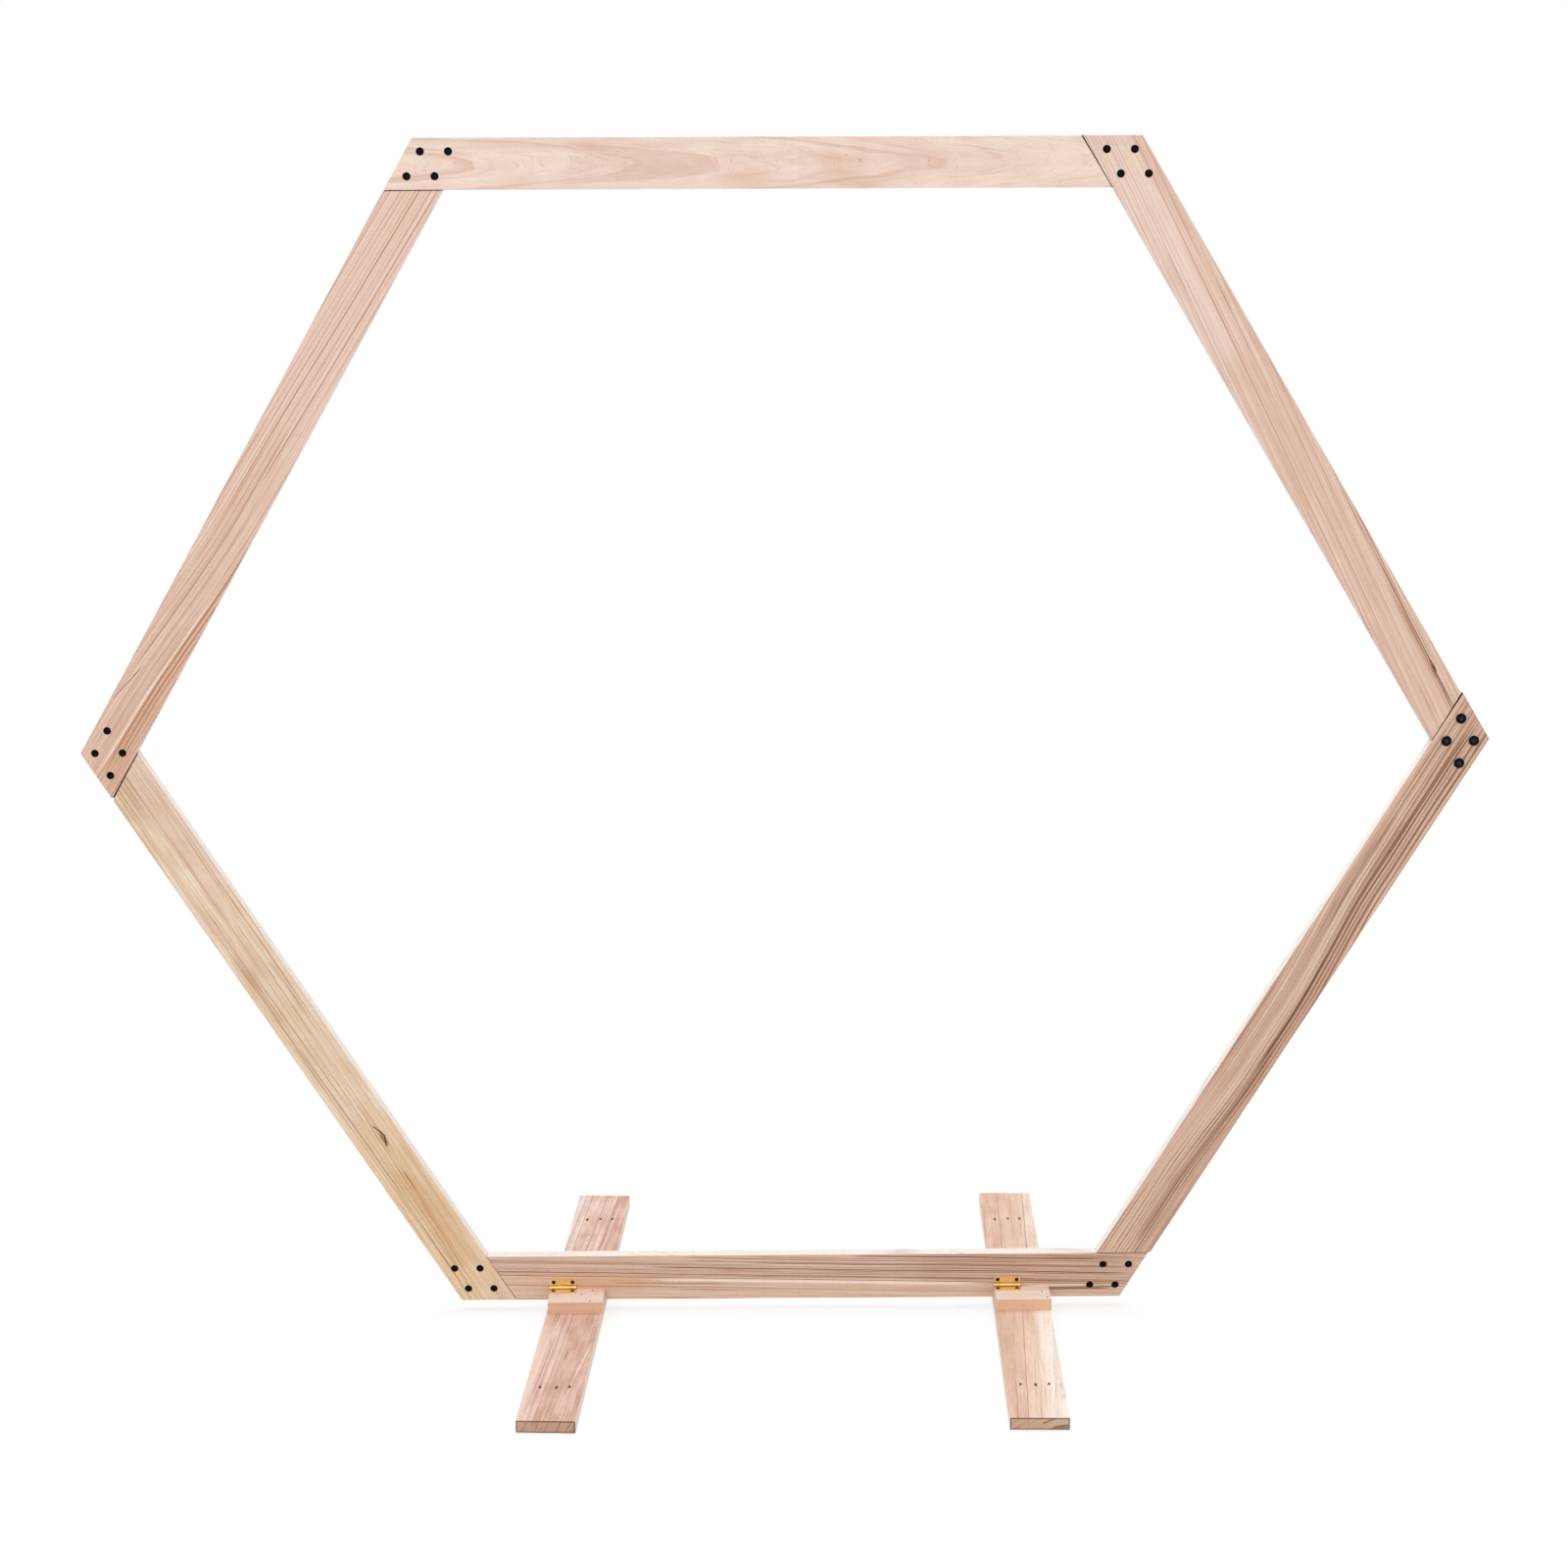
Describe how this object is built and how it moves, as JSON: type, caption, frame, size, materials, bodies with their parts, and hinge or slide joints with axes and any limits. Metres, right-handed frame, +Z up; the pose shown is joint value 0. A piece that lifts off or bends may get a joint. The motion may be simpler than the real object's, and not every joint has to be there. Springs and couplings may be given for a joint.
{
  "type": "wedding arch",
  "caption": "Free-standing hexagonal timber wedding arch of half-lapped boards, bolted at the corners, on two cross feet that fold up on small butt hinges.",
  "frame": {"origin": "on the floor, in the middle of the rectangle that the arch covers; the middle of the boards' thickness is 3 mm behind it", "axes": "+Z up, +X along the arch to the right as seen from the front, +Y to the rear"},
  "size_m": [2.0315, 0.813, 1.7326],
  "materials": {
    "frame_wood": "bare planed softwood",
    "foot_wood": "bare planed softwood, edge-glued strips",
    "black_steel": "black oxide",
    "zinc_steel": "zinc plated",
    "dark_steel": "antiqued steel",
    "brass": "bright brass plate"
  },
  "bodies": {
    "arch_frame": {"top_board": "frame_wood", "upper_right_board": "frame_wood", "lower_right_board": "frame_wood", "bottom_board": "frame_wood", "lower_left_board": "frame_wood", "upper_left_board": "frame_wood", "top_left_bolts": "black_steel", "top_left_inserts": "zinc_steel", "top_right_bolts": "black_steel", "top_right_inserts": "zinc_steel", "right_bolts": "black_steel", "right_inserts": "zinc_steel", "bottom_right_bolts": "black_steel", "bottom_right_inserts": "zinc_steel", "bottom_left_bolts": "black_steel", "bottom_left_inserts": "zinc_steel", "left_bolts": "black_steel", "left_inserts": "zinc_steel", "left_hinge_frame_leaf": "brass", "left_hinge_pin": "brass", "left_hinge_frame_screws": "dark_steel", "right_hinge_frame_leaf": "brass", "right_hinge_pin": "brass", "right_hinge_frame_screws": "dark_steel"},
    "left_support": {"left_foot": "foot_wood", "left_cleat": "foot_wood", "left_hinge_foot_leaf": "brass", "left_hinge_foot_screws": "dark_steel"},
    "right_support": {"right_foot": "foot_wood", "right_cleat": "foot_wood", "right_hinge_foot_leaf": "brass", "right_hinge_foot_screws": "dark_steel"}
  },
  "joints": [
    {"name": "left_foot_fold", "type": "hinge", "parent": "arch_frame", "child": "left_support", "pos_m": [-0.33877, -0.0098, 0.0388], "axis": [-1, 0, 0], "range_deg": [0, 90]},
    {"name": "right_foot_fold", "type": "hinge", "parent": "arch_frame", "child": "right_support", "pos_m": [0.33323, -0.0098, 0.0388], "axis": [-1, 0, 0], "range_deg": [0, 90]}
  ]
}
